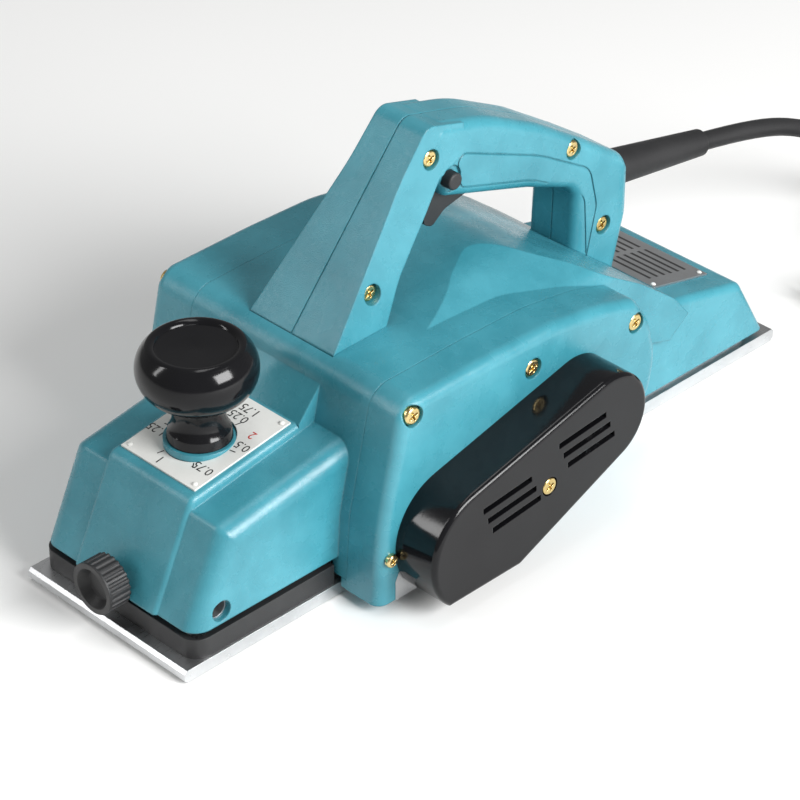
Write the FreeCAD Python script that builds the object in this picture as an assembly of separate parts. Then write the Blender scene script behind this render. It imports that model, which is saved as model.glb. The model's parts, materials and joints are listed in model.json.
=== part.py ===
import FreeCAD, Part
import math
import os

# Portable electric hand planer, in millimetres.
# +Z is up and the sole lies on Z = 0.  The tool planes towards -Y, and +X is its left, belt side.
# The origin is on the sole, under the middle of the tool's length and width.

V = FreeCAD.Vector
AXIS_X = V(1, 0, 0)
AXIS_Y = V(0, 1, 0)
AXIS_Z = V(0, 0, 1)

# ---------------------------------------------------------------- overall sizes
SOLE_LENGTH = 355.0
SOLE_WIDTH = 96.0
PLATE_FRONT = 5.6            # thickness of the front base plate
PLATE_REAR = 6.0             # thickness of the rear base plate
DEPTH_MAX = 2.0              # how far the front base rises
DEPTH_GAP = 0.6              # what is left above the front base at full depth

# ---------------------------------------------------------------- fits
RUN = 0.05                   # radial clearance of a running fit
CLEAR = 0.5                  # plain clearance between neighbours
MOTION = 2.0                 # clearance round a turning part

# ---------------------------------------------------------------- cutter and motor
CUT_R = 28.5                 # cutting circle
DRUM_R = 25.5
DRUM_Y = -57.0
DRUM_Z = CUT_R               # the cutting circle touches the sole's plane
DRUM_LENGTH = 90.0
DRUM_SHAFT_R = 6.0
BLADE_T = 1.2
BLADE_DEEP = 13.0
CLAMP_T = 6.0
DRUM_BEARING_R = 13.0
DRUM_BEARING_W = 8.0
MOTOR_Y = 17.5
MOTOR_Z = 52.5
STATOR_R = 33.0
STATOR_L = 46.0
ARMATURE_R = 19.0
AIR_GAP = 0.6
SHAFT_R = 5.0
MOTOR_BEARING_R = 13.0
MOTOR_BEARING_W = 8.0
DRUM_PULLEY_R = 14.4
MOTOR_PULLEY_R = 9.6
BELT_W = 12.0
BELT_T = 3.0

# ---------------------------------------------------------------- casings
WALL = 3.0
COVER_WALL = 2.5
BODY_HALF = 52.0             # half width of the middle housing
LEFT_FACE = 71.0             # outer face of the left cover
RIGHT_FACE = -76.0           # outer face of the motor housing
BELT_FACE = 93.0             # outer face of the belt cover
REAR_HALF = 47.5             # half width of the rear body
NOSE_HALF = 46.5             # half width of the nose
BLOCK_HALF = 25.0            # half width of the raised block on the nose
FLOOR_Z = 9.0                # underside of the casings, above both base plates
NOSE_FOOT = 17.5             # lower rim of the nose
BELT_FRONT_R = 28.0
BELT_REAR_R = 21.5
BELT_ROUND = 2.2
BELT_FOOT_Z = 7.3            # the belt cover is cut flat above the sole

# ---------------------------------------------------------------- nose fittings
KNOB_Y = -124.0
KNOB_TOP = 112.0
KNOB_R = 24.8
SPINDLE_R = 5.0
COLLAR_R = 13.5
SEAT_R = 14.8
SCALE_W = 44.0
SCALE_L = 52.0
SCALE_T = 0.8
SCALE_FRONT_Y = -146.5
SCALE_FRONT_Z = 63.5
SCALE_SLOPE = 8.3
ROD_Y = -156.0
ROD_Z = 23.5
ROD_R = 4.1                  # bore for an 8 mm guide rod
THUMB_R = 11.3
THUMB_L = 10.7
STUD_R = 3.0

# ---------------------------------------------------------------- handle
GRIP_HALF = 14.5
ARM_FOOT_HALF = 25.0
ARM_TOP_HALF = 13.0
GRIP_ROUND = 5.0
GRIP_REAR = 116.4            # rear of the grip, rounded in plan
GRIP_REAR_ROUND = 10.5
PANEL_GROOVE = 0.6           # depth and width of the line round the grip panel
HANDLE_WALL = 3.0
SEAM = 0.4                   # visible gap between the handle's halves
SCREW_HEAD_R = 4.0
TRIGGER_HALF = 7.0
TRIGGER_PIN = (27.0, 131.5)
TRIGGER_PIN_R = 1.6
LOCK_AT = (1.8, 140.8)
LOCK_R = 3.8
LOCK_DISH_R = 6.2
LOCK_PROUD = 3.4
LOCK_TRAVEL = 3.0

# ---------------------------------------------------------------- cord
CORD_D = 8.5
GUARD_L = 60.0
GUARD_R_IN = 8.4
GUARD_R_OUT = 6.2
GUARD_START = V(0, 116.0, 94.6)
GUARD_DIP = 10.3             # the guard points down by this many degrees
CORD_FIRST = 36.0            # the first run, in line with the guard
CORD_ROUTE = (
    (1.5, 245, 66.0), (4, 273, 48), (8, 297, 26.5), (14, 318, 11), (26, 338, 4.8),
    (42, 356, 4.45), (64, 364, 4.4), (85, 361.5, 4.4),
)
COIL_AT = (78.0, 303.0)
COIL_R_OUT = 58.0
COIL_R_IN = 32.0
COIL_H = 26.0
PLUG_L = 36.0
PLUG_W = 24.0
PLUG_H = 16.0
PLUG_Z = PLUG_H / 2 + 0.05
TAIL_ROUTE = ((134.5, 308, 4.4), (143.5, 291, 4.4), (145.5, 271.5, 4.4), (140, 252.5, 4.6), (127.5, 237.5, 5.6),
              (110.5, 228.5, PLUG_Z), (91, 226.5, PLUG_Z))
PIN_L = 17.0


# ================================================================ helpers
def turned(origin, axis, radius, length):
    return Part.makeCylinder(radius, length, origin, axis)


def rod_x(y, z, radius, x0, x1):
    """A round bar along X between two places."""
    return turned(V(x0, y, z), AXIS_X, radius, x1 - x0)


def ring_x(y, z, r_out, r_in, x0, x1):
    return rod_x(y, z, r_out, x0, x1).cut(rod_x(y, z, r_in, x0 - 1, x1 + 1))


def box(x0, x1, y0, y1, z0, z1):
    return Part.makeBox(x1 - x0, y1 - y0, z1 - z0, V(x0, y0, z0))


def outline(points, x=0.0):
    """Closed side outline from (y, z) points; a third value rounds that corner."""
    corners = [V(x, p[0], p[1]) for p in points]
    radii = [p[2] if len(p) > 2 else 0.0 for p in points]
    count = len(corners)
    edges = []
    ends = []
    for i, corner in enumerate(corners):
        back = corners[i - 1].sub(corner)
        ahead = corners[(i + 1) % count].sub(corner)
        limit = 0.49 * min(back.Length, ahead.Length)
        back.normalize()
        ahead.normalize()
        half = (math.pi - back.getAngle(ahead)) / 2
        if radii[i] == 0.0 or half < 1e-4:
            ends.append((corner, corner))
            continue
        trim = min(radii[i] * math.tan(half), limit)
        radius = trim / math.tan(half)
        a = corner.add(V(back).multiply(trim))
        b = corner.add(V(ahead).multiply(trim))
        inward = back.add(ahead).normalize()
        middle = corner.add(inward.multiply(radius / math.cos(half) - radius))
        edges.append(Part.Arc(a, middle, b).toShape())
        ends.append((a, b))
    for i in range(count):
        start = ends[i][1]
        finish = ends[(i + 1) % count][0]
        if finish.sub(start).Length > 1e-6:
            edges.append(Part.LineSegment(start, finish).toShape())
    return Part.Wire(Part.sortEdges(edges)[0])


def slab(points, x0, x1):
    """A side outline swept along X."""
    return Part.Face(outline(points, x0)).extrude(V(x1 - x0, 0, 0))


def front_slab(points, y0, y1):
    """A front outline of (x, z) points swept along Y."""
    wire = outline(points)
    wire.rotate(V(0, 0, 0), AXIS_Z, -90)
    wire.translate(V(0, y0, 0))
    return Part.Face(wire).extrude(V(0, y1 - y0, 0))


def hollow_slab(points, wall, x0, x1):
    """The same slab with its side outline moved inwards by a wall."""
    face = Part.Face(outline(points))
    small = face.makeOffset2D(-wall, 0, False, False, False)
    small.translate(V(x0, 0, 0))
    return small.extrude(V(x1 - x0, 0, 0))


def union(shapes):
    whole = shapes[0]
    if len(shapes) > 1:
        whole = whole.fuse(list(shapes[1:]))
    return whole.removeSplitter()


def pan_screw(at, axis, head_r, head_h, shank_r, shank_l, slot=True):
    """A pan-head screw; the axis points out of the head and 'at' is the head's seat."""
    back = V(axis).multiply(-1)
    head = turned(at, axis, head_r, head_h)
    top = [e for e in head.Edges if abs(e.CenterOfMass.sub(at).dot(axis) - head_h) < 1e-6]
    head = head.makeFillet(head_h * 0.45, top)
    screw = head.fuse(turned(at, back, shank_r, shank_l))
    if slot:
        turn = FreeCAD.Rotation(AXIS_Z, axis)
        for angle in (0, 90):
            arm = Part.makeBox(head_r * 1.15, head_r * 0.26, head_h, V(-head_r * 0.575, -head_r * 0.13, 0))
            arm.rotate(V(0, 0, 0), AXIS_Z, angle + 20)
            lift = V(axis).multiply(head_h * 0.5)
            arm.Placement = FreeCAD.Placement(at.add(lift), turn).multiply(arm.Placement)
            screw = screw.cut(arm)
    return screw.removeSplitter()


def rounded_route(points, share=0.45):
    """Straight runs joined by tangent arcs, each as large as its shorter run allows."""
    edges = []
    radii = []
    start = points[0]
    for before, corner, after in zip(points, points[1:], points[2:]):
        back = before.sub(corner)
        ahead = after.sub(corner)
        trim = share * min(back.Length, ahead.Length)
        back.normalize()
        ahead.normalize()
        turn = math.pi - back.getAngle(ahead)
        radius = trim / math.tan(turn / 2)
        radii.append((radius, math.degrees(turn)))
        a = corner.add(V(back).multiply(trim))
        b = corner.add(V(ahead).multiply(trim))
        bisect = back.add(ahead).normalize()
        middle = corner.add(bisect.multiply(radius / math.cos(turn / 2) - radius))
        edges.append(Part.LineSegment(start, a).toShape())
        edges.append(Part.Arc(a, middle, b).toShape())
        start = b
    edges.append(Part.LineSegment(start, points[-1]).toShape())
    return Part.Wire(edges), radii


def cord_tube(points, name):
    """A round cord along a route of points."""
    path, radii = rounded_route(points)
    first = points[1].sub(points[0]).normalize()
    section = Part.Wire(Part.makeCircle(CORD_D / 2, points[0], first))
    tube = path.makePipeShell([section], True, True, 0)
    expected = math.pi * CORD_D ** 2 / 4 * path.Length
    print(name, "length %.1f" % path.Length, "volume ratio %.4f" % (tube.Volume / expected),
          "radii", ["%.0f at %.0f deg" % pair for pair in radii])
    return tube


# ================================================================ outlines, as (y, z)
SOLE_FRONT = -SOLE_LENGTH / 2
SOLE_REAR = SOLE_LENGTH / 2
HALF = SOLE_WIDTH / 2
MOUTH_FRONT = DRUM_Y - 20.0
MOUTH_REAR = DRUM_Y + 20.0
PLATE_SLOPE = math.tan(math.radians(SCALE_SLOPE))


def block_top(y):
    """Height of the raised nose block, which carries the scale plate."""
    return SCALE_FRONT_Z + (y - SCALE_FRONT_Y) * PLATE_SLOPE


def rear_top(y):
    """Height of the rear body's sloping top."""
    return 53.0 - 0.235 * (y - 98.0)


BODY_OUTLINE = (
    (-94.0, FLOOR_Z), (-92.0, 39.0, 40), (-79.5, 94.5, 11), (-30.0, 95.3, 300), (6.0, 94.6, 80),
    (36.0, 90.0, 80), (58.0, 83.0, 8), (71.0, 66.0, 8), (74.0, FLOOR_Z),
)
REAR_END = 153.0
REAR_OUTLINE = ((40.0, FLOOR_Z), (40.0, rear_top(40.0)), (REAR_END, rear_top(REAR_END), 5),
                (171.0, FLOOR_Z))
DOME = ((-80.0, 70.0), (-79.0, 92.5, 12), (-38.0, 94.5, 60), (-5.0, 101.0, 60), (20.0, 104.5, 60),
        (47.0, 93.5, 60), (80.0, 73.5, 60), (103.0, 56.0, 30), (112.0, 45.0), (100.0, 36.0), (30.0, 60.0))
DOME_SECTION = ((-BODY_HALF, 30.0), (-BODY_HALF, 88.0, 10), (-30.0, 99.0, 60), (0.0, 106.5, 60),
                (30.0, 99.0, 60), (BODY_HALF, 88.0, 10), (BODY_HALF, 30.0))
DOME_ROOM = tuple((x * 0.93, z - WALL) + tuple(rest) for x, z, *rest in DOME_SECTION)
SHOULDER = ((-170.5, NOSE_FOOT), (-151.5, 58.0, 3), (-84.0, 69.0), (-84.0, NOSE_FOOT))
NOSE_BLOCK = ((-172.0, NOSE_FOOT), (-150.5, block_top(-150.5), 5), (-84.0, block_top(-84.0)),
              (-84.0, NOSE_FOOT))

ARM_OUTLINE = ((-76.0, 91.8), (-10.6, 169.2, 7), (10.0, 163.5), (10.0, 150.0), (-5.5, 144.0, 3),
               (-15.0, 133.0), (-34.0, 112.0, 40), (-45.0, 93.5), (-60.0, 88.0))
GRIP_OUTLINE = ((-10.6, 169.2, 7), (25.0, 160.0, 80), (57.0, 143.8, 80), (87.5, 124.2, 60), (110.0, 108.8, 14),
                (116.5, 94.0, 10), (104.0, 46.0), (78.0, 52.0), (80.0, 103.6, 10), (50.0, 116.0, 60),
                (0.5, 132.0, 3), (-5.5, 145.0))
GRIP_PANEL = ((5.0, 152.0, 4), (55.0, 131.0, 80), (87.0, 112.0, 12), (92.0, 92.0, 10), (86.0, 66.0),
              (83.5, 100.0, 10), (52.0, 120.0, 60), (8.0, 134.0, 4))


# ================================================================ base
def front_base():
    side = ((SOLE_FRONT, 1.2), (SOLE_FRONT, PLATE_FRONT - 1.4), (SOLE_FRONT + 1.4, PLATE_FRONT),
               (MOUTH_FRONT - 4.0, PLATE_FRONT), (MOUTH_FRONT, 0.0), (SOLE_FRONT + 1.2, 0.0))
    plate = slab(side, -HALF, HALF)
    boss = turned(V(0, KNOB_Y, PLATE_FRONT), AXIS_Z, 12.0, 24.0)
    ribs = [box(x - 1.5, x + 1.5, -160.0, -100.0, PLATE_FRONT, PLATE_FRONT + 5.0) for x in (-24, 24)]
    posts = [turned(V(x, y, PLATE_FRONT), AXIS_Z, 4.0, 14.0) for x in (-32, 32) for y in (-140, -106)]
    bore = turned(V(0, KNOB_Y, PLATE_FRONT + 1.0), AXIS_Z, SPINDLE_R + RUN, 40.0)
    return union([plate, boss] + ribs + posts).cut(bore)


SKIRT_TOP = NOSE_FOOT - DEPTH_MAX - DEPTH_GAP
SKIRT_HALF = NOSE_HALF + 0.5
SKIRT_FRONT = -171.0


def front_skirt():
    """Black dust frame on the front base, below the nose."""
    outer = box(-SKIRT_HALF, SKIRT_HALF, SKIRT_FRONT, -96.0, PLATE_FRONT, SKIRT_TOP)
    corners = [e for e in outer.Edges if e.BoundBox.ZLength > 1.0 and e.CenterOfMass.y < SKIRT_FRONT + 0.1]
    outer = outer.makeFillet(8.0, corners)
    inner = box(-SKIRT_HALF + WALL, SKIRT_HALF - WALL, SKIRT_FRONT + WALL, -96.0 - WALL, 0, 40)
    return outer.cut(inner)


def rear_base():
    side = ((MOUTH_REAR, 0.0), (MOUTH_REAR + 5.0, PLATE_REAR), (SOLE_REAR - 1.0, PLATE_REAR),
               (SOLE_REAR, PLATE_REAR - 1.0), (SOLE_REAR, 1.5), (SOLE_REAR - 1.5, 0.0))
    plate = slab(side, -HALF, HALF)
    for x, y in REAR_BASE_SCREWS:
        plate = plate.cut(turned(V(x, y, -1), AXIS_Z, 2.5, 12))
        plate = plate.cut(turned(V(x, y, -1), AXIS_Z, SINK_R + RUN, 1.0 + SINK_DEPTH))
        plate = plate.cut(Part.makeCone(SINK_R + RUN, 2.5, 2.5, V(x, y, SINK_DEPTH), AXIS_Z))
    return plate


SINK_R = 5.0
SINK_DEPTH = 0.3
REAR_BASE_SCREWS = [(x, y) for y in (-18.0, 62.0, 142.0) for x in (-36.0, 36.0)]


def rear_base_screws():
    screws = []
    for x, y in REAR_BASE_SCREWS:
        head = Part.makeCone(SINK_R, 2.4, 2.5, V(x, y, SINK_DEPTH), AXIS_Z)
        shank = turned(V(x, y, 2.7), AXIS_Z, 2.4, 8.0)
        cross = [box(x - 2.4, x + 2.4, y - 0.5, y + 0.5, 0, 1.3), box(x - 0.5, x + 0.5, y - 2.4, y + 2.4, 0, 1.3)]
        screws.append(head.fuse(shank).cut(cross[0].fuse(cross[1])).removeSplitter())
    return Part.makeCompound(screws)


# ================================================================ frame
CASE_HALF = 58.0             # the drum case is this far out to each side
FRAME_LEFT = LEFT_FACE - 0.5
FRAME_FLOOR = PLATE_REAR + 3.0


FLANGE_OUTLINE = ((-89.9, 3.5), (-88.6, 38.0), (-77.0, 58.0), (-36.0, 60.0), (-24.0, 46.0), (-24.0, 16.0),
                  (-34.0, 3.5))
WINDOW_FRONT = -84.4         # the case shows through a window in the left cover, under the belt cover
WINDOW_OUTLINE = ((WINDOW_FRONT, 3.5), (WINDOW_FRONT, 13.0), (-80.5, 21.0), (-80.5, 35.0), (-70.0, 48.0),
                  (-44.0, 48.0), (-33.0, 38.0), (-31.0, 20.0), (-38.0, 3.5))


def main_frame():
    drum_room = rod_x(DRUM_Y, DRUM_Z, CUT_R + MOTION, -DRUM_LENGTH / 2 - 1.0, DRUM_LENGTH / 2 + 1.0)
    case = slab(((-88.0, FLOOR_Z), (-86.0, 44.0), (-74.0, 62.0), (-30.0, 62.0), (-22.0, 44.0),
                 (-22.0, FLOOR_Z)), -CASE_HALF, CASE_HALF)
    flange = slab(FLANGE_OUTLINE, BODY_HALF + 0.5, LEFT_FACE - COVER_WALL - CLEAR)
    flange = flange.cut(box(BODY_HALF, LEFT_FACE, -95.0, WINDOW_FRONT, 0.0, 7.6))
    face = slab(WINDOW_OUTLINE, BODY_HALF + 1.0, FRAME_LEFT)
    floor = box(-44.0, 44.0, -24.0, 160.0, PLATE_REAR, FRAME_FLOOR)
    cradles = []
    for x in (-16.0, 20.0):
        rib = box(x - 3, x + 3, MOTOR_Y - 30.0, MOTOR_Y + 30.0, PLATE_REAR, MOTOR_Z - 14.0)
        cradles.append(rib.cut(rod_x(MOTOR_Y, MOTOR_Z, STATOR_R, x - 4, x + 4)))
    ribs = [box(x - 1.5, x + 1.5, 60.0, 150.0, FRAME_FLOOR - 1, 22.0) for x in (-30, 0, 30)]
    ties = [box(x - 3, x + 3, -26.0, MOTOR_Y - 28.0, PLATE_REAR, 30.0) for x in (-16.0, 20.0)]
    frame = union([case, flange, face, floor] + cradles + ribs + ties)
    frame = frame.cut(drum_room)
    mouth = box(-DRUM_LENGTH / 2 - 1.0, DRUM_LENGTH / 2 + 1.0, -90.0, DRUM_Y + 26.0, 0, DRUM_Z)
    frame = frame.cut(mouth)
    frame = frame.cut(box(-DUCT_HALF, DUCT_HALF, -72.0, -44.0, 50.0, 64.0))
    for inner, outer in ((DRUM_LENGTH / 2 + 5.0, CASE_HALF), (-DRUM_LENGTH / 2 - 5.0, -CASE_HALF)):
        low, high = sorted((inner, outer))
        frame = frame.cut(rod_x(DRUM_Y, DRUM_Z, DRUM_BEARING_R, low, high))
    frame = frame.cut(rod_x(DRUM_Y, DRUM_Z, DRUM_SHAFT_R + 3.0, -CASE_HALF + 6, FRAME_LEFT + 1))
    y, z = LEFT_LOW_SCREW
    frame = frame.cut(rod_x(y, z, LOW_SCREW_R + RUN, BODY_HALF, LEFT_FACE))
    for x, y in REAR_BASE_SCREWS:
        frame = frame.cut(turned(V(x, y, 0), AXIS_Z, 2.4, FRAME_FLOOR + 4.0))
    return frame


DUCT_HALF = 40.0             # half width of the slot that the chips rise through
DUCT_Y = (-76.0, -40.0)
DUCT_Z = (62.0, 83.0)
DUCT_WALL = 2.0


def chip_duct():
    """Duct that leads the chips from above the drum out to the right."""
    y0, y1 = DUCT_Y
    z0, z1 = DUCT_Z
    right = RIGHT_FACE + COVER_WALL + CLEAR
    duct = box(right, DUCT_HALF + DUCT_WALL, y0, y1, z0, z1)
    duct = duct.cut(box(right - 1, DUCT_HALF, y0 + DUCT_WALL, y1 - DUCT_WALL, z0 + DUCT_WALL, z1 - DUCT_WALL))
    return duct.cut(box(-DUCT_HALF, DUCT_HALF, -72.0, -44.0, z0 - 1, z0 + DUCT_WALL + 1))


def motor_bracket():
    """Cast plate that carries the motor's left bearing."""
    side = ((-20.0, 14.0), (-20.0, 70.0), (-8.0, 84.0), (36.0, 80.0), (52.0, 64.0), (54.0, 31.0), (20.0, 20.5))
    plate = slab(side, 54.0, 64.0)
    plate = plate.cut(rod_x(MOTOR_Y, MOTOR_Z, MOTOR_BEARING_R, 56.0, 64.0))
    plate = plate.cut(rod_x(MOTOR_Y, MOTOR_Z, SHAFT_R + 3.0, 53.0, 65.0))
    for y, z in COVER_SCREWS:
        plate = plate.cut(rod_x(y, z, COVER_POST_R + CLEAR, 50.0, 66.0))
    for y, z in BRACKET_SCREWS:
        plate = plate.cut(rod_x(y, z, 2.0, 50.0, 66.0))
    return plate


BRACKET_SCREWS = ((-13.0, 24.0), (-14.0, 62.0), (44.0, 38.0), (36.0, 72.0))


def motor_bracket_screws():
    return Part.makeCompound([pan_screw(V(64.0, y, z), AXIS_X, 3.6, 2.4, 2.0, 12.0) for y, z in BRACKET_SCREWS])


# ================================================================ housings
def nose_solid(wall):
    """The nose as a solid, or its inside when a wall is given."""
    side = NOSE_HALF - wall
    if wall:
        shoulder = hollow_slab(SHOULDER, wall, -side, side)
        block = hollow_slab(NOSE_BLOCK, wall, -BLOCK_HALF + wall, BLOCK_HALF - wall)
        foot = slab(((-167.0, 0.0), (-165.8, NOSE_FOOT + 4.0), (-80.0, NOSE_FOOT + 4.0), (-80.0, 0.0)),
                    -side, side)
        return union([shoulder, block, foot])
    shoulder = slab(SHOULDER, -side, side)
    front = [e for e in shoulder.Edges
             if abs(abs(e.CenterOfMass.x) - side) < 0.1 and e.CenterOfMass.y < -150.0
             and abs(e.CenterOfMass.z - NOSE_FOOT) > 5.0 and e.BoundBox.ZLength > 20.0]
    shoulder = shoulder.makeFillet(8.0, front)
    block = slab(NOSE_BLOCK, -BLOCK_HALF, BLOCK_HALF)
    sides = [e for e in block.Edges
             if abs(abs(e.CenterOfMass.x) - BLOCK_HALF) < 0.1 and e.BoundBox.YLength > 15.0
             and e.CenterOfMass.z > NOSE_FOOT + 5.0]
    block = block.makeFillet(2.5, sides)
    return union([shoulder, block])


def body_solid():
    return slab(BODY_OUTLINE, -BODY_HALF, BODY_HALF)


def rear_solid():
    solid = slab(REAR_OUTLINE, -REAR_HALF, REAR_HALF)
    rims = [e for e in solid.Edges
            if abs(abs(e.CenterOfMass.x) - REAR_HALF) < 0.1 and e.CenterOfMass.z > FLOOR_Z + 6.0
            and e.CenterOfMass.y > 60.0]
    return solid.makeFillet(3.5, rims)


def dome_solid():
    """The raised middle of the housing, on which the handle stands."""
    side = slab(DOME, -BODY_HALF, BODY_HALF)
    return side.common(front_slab(DOME_SECTION, -100.0, 140.0))


def fairing():
    """Wedge that carries the front of the handle's arm down onto the nose block."""
    side = ((-70.0, 91.8), ARM_OUTLINE[0][:2], (-93.7, 71.1), (-93.0, 66.0), (-80.0, 60.0))
    return slab(side, -BLOCK_HALF, BLOCK_HALF)


def main_housing():
    outer = union([body_solid(), rear_solid(), dome_solid(), nose_solid(0), fairing()])
    side = BODY_HALF - WALL
    body_room = hollow_slab(BODY_OUTLINE, WALL, -side, side)
    body_foot = box(-side, side, -90.5, 70.5, FLOOR_Z - 5, FLOOR_Z + WALL + 1)
    side_rooms = hollow_slab(COVER_OUTLINE, WALL, -BODY_HALF - 1, BODY_HALF + 1).common(
        box(-BODY_HALF - 1, BODY_HALF + 1, -100, 66, FLOOR_Z - 1, 100))
    dome_room = hollow_slab(DOME, WALL, -side, side).common(front_slab(DOME_ROOM, -100.0, 140.0))
    rear_room = hollow_slab(REAR_OUTLINE, WALL, -REAR_HALF + WALL, REAR_HALF - WALL)
    rear_foot = slab(((60.0, 0.0), (60.0, FLOOR_Z + 5.0), (163.0, FLOOR_Z + 5.0), (166.0, 0.0)),
                     -REAR_HALF + WALL, REAR_HALF - WALL)
    nose_room = nose_solid(WALL)
    link = box(-30.0, 30.0, -90.0, -80.0, NOSE_FOOT + 2, 60.0)
    shell = outer
    for room in (body_room, body_foot, side_rooms, dome_room, rear_room, rear_foot, nose_room, link):
        shell = shell.cut(room)
    well = turned(V(0, KNOB_Y, block_top(KNOB_Y) - 10.0), AXIS_Z, 12.0, 9.0)
    shell = shell.fuse(well)
    shell = shell.cut(turned(V(0, KNOB_Y, 20.0), AXIS_Z, SPINDLE_R + 3.0, 60.0))
    shell = shell.cut(rod_x(ROD_Y, ROD_Z, ROD_R + 0.6, -60.0, 60.0))
    shell = shell.cut(turned(V(0, -180.0, ROD_Z), AXIS_Y, STUD_R + RUN, 25.0))
    shell = shell.cut(box(-60, 60, -89.0, -21.5, 0, FLOOR_Z + 30.0))
    shell = shell.cut(box(-60, 60, DUCT_Y[0] - CLEAR, DUCT_Y[1] + CLEAR, DUCT_Z[0] - CLEAR, DUCT_Z[1] + CLEAR))
    for y, z in COVER_SCREWS:
        shell = shell.cut(rod_x(y, z, 1.9, -60.0, 60.0))
    return shell.removeSplitter()


COVER_SCREWS = ((-74.5, 88.0), (-6.9, 79.5), (55.5, 73.5))
COVER_POST_R = 5.0
LEFT_LOW_SCREW = (-88.0, 26.0)
LOW_SCREW_R = 1.5


COVER_OUTLINE = ((-94.5, 4.5), (-92.0, 39.0, 40), (-79.5, 94.5, 11), (-30.0, 95.3, 300), (6.0, 94.6, 80),
                 (36.0, 90.0, 80), (57.0, 83.3, 8), (66.0, 70.0, 30), (71.0, 52.0, 30), (67.0, 30.0, 20),
                 (50.0, 22.0), (20.0, 14.0), (-30.0, 4.5))


def side_cover(face, inner):
    """A cover from the middle housing out to a side face, as a solid with rounded rims."""
    low, high = sorted((inner, face))
    solid = slab(COVER_OUTLINE, low, high)
    rims = [e for e in solid.Edges if abs(e.CenterOfMass.x - face) < 0.1 and e.CenterOfMass.z > 5.0
            and (e.CenterOfMass.z > 60.0 or e.CenterOfMass.y < -85.0 or e.CenterOfMass.y > 60.0)]
    return solid.makeFillet(5.0, rims)


def cover_room(face, inner, wall):
    """The space inside a side cover."""
    step = -wall if face > 0 else wall
    low, high = sorted((inner - math.copysign(1, face), face + step))
    return hollow_slab(COVER_OUTLINE, wall, low, high)


def left_cover():
    solid = side_cover(LEFT_FACE, BODY_HALF)
    lip = slab(((-94.3, 4.5), (-94.0, FLOOR_Z), (-89.0, FLOOR_Z), (-89.0, 4.5)), HALF + 1.0, BODY_HALF)
    solid = solid.fuse(lip)
    room = cover_room(LEFT_FACE, BODY_HALF, COVER_WALL)
    shell = solid.cut(room)
    window = hollow_slab(WINDOW_OUTLINE, -CLEAR, BODY_HALF, LEFT_FACE + 1)
    foot = box(BODY_HALF, LEFT_FACE + 1, WINDOW_FRONT - CLEAR, -29.0, 0.0, 8.0)
    shell = shell.cut(window).cut(foot)
    shell = shell.cut(rod_x(MOTOR_Y, MOTOR_Z, 15.0, 60.0, 75.0))
    bosses = []
    for y, z in COVER_SCREWS:
        bosses.append(rod_x(y, z, COVER_POST_R, BODY_HALF, LEFT_FACE - 3.2))
    shell = shell.fuse(bosses)
    for y, z in COVER_SCREWS:
        shell = shell.cut(rod_x(y, z, 2.1, 40.0, 80.0))
        shell = shell.cut(rod_x(y, z, SCREW_HEAD_R + 0.7, LEFT_FACE - 3.0, 80.0))
    y, z = LEFT_LOW_SCREW
    shell = shell.cut(rod_x(y, z, LOW_SCREW_R + RUN, 40.0, 80.0))
    shell = shell.cut(belt_screw_hole(LEFT_FACE + 1))
    return largest(shell.common(solid))


def largest(shape):
    """The main solid of a cut result, without loose offcuts."""
    return max(shape.Solids, key=lambda s: s.Volume).removeSplitter()


def motor_housing():
    solid = side_cover(RIGHT_FACE, -BODY_HALF)
    solid = solid.cut(box(-80, -40, -110, -20, 0, 17.5))
    room = cover_room(RIGHT_FACE, -BODY_HALF, COVER_WALL)
    shell = solid.cut(room)
    seat = ring_x(MOTOR_Y, MOTOR_Z, 16.0, 11.0, RIGHT_FACE + 1.0, RIGHT_FACE + 10.0)
    ribs = [box(RIGHT_FACE + 1, RIGHT_FACE + 6, y - 1.2, y + 1.2, 33.0, 78.0)
            .cut(rod_x(MOTOR_Y, MOTOR_Z, 15.0, -90, -50)) for y in (-24.0, 12.0, 24.0, 59.0)]
    shell = shell.fuse([seat] + ribs)
    for row in range(6):
        z = 34.0 + row * 6.5
        shell = shell.cut(box(RIGHT_FACE - 1, RIGHT_FACE + COVER_WALL + 0.1, 34.5, 56.0, z - 1.3, z + 1.3))
        shell = shell.cut(box(RIGHT_FACE - 1, RIGHT_FACE + COVER_WALL + 0.1, -22.0, -2.0, z - 1.3, z + 1.3))
    shell = shell.cut(box(RIGHT_FACE - 1, RIGHT_FACE + 5, DUCT_Y[0] + DUCT_WALL, DUCT_Y[1] - DUCT_WALL,
                          DUCT_Z[0] + DUCT_WALL, DUCT_Z[1] - DUCT_WALL))
    bosses = [rod_x(y, z, COVER_POST_R, RIGHT_FACE + 3.2, -BODY_HALF) for y, z in COVER_SCREWS]
    shell = shell.fuse(bosses)
    for y, z in COVER_SCREWS:
        shell = shell.cut(rod_x(y, z, 2.1, -90.0, -40.0))
        shell = shell.cut(rod_x(y, z, SCREW_HEAD_R + 0.7, -90.0, RIGHT_FACE + 3.0))
    return largest(shell.common(solid))


def cover_screws():
    """The screws of both side covers and of the belt cover."""
    seat = LEFT_FACE - 3.0
    screws = [pan_screw(V(seat, y, z), AXIS_X, SCREW_HEAD_R, 2.6, 1.9, 22.0) for y, z in COVER_SCREWS]
    seat = RIGHT_FACE + 3.0
    screws += [pan_screw(V(seat, y, z), V(-1, 0, 0), SCREW_HEAD_R, 2.6, 1.9, 26.0) for y, z in COVER_SCREWS]
    screws.append(belt_cover_screw())
    y, z = LEFT_LOW_SCREW
    screws.append(pan_screw(V(LEFT_FACE, y, z), AXIS_X, 2.9, 2.2, LOW_SCREW_R, 14.0))
    return Part.makeCompound(screws)


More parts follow.
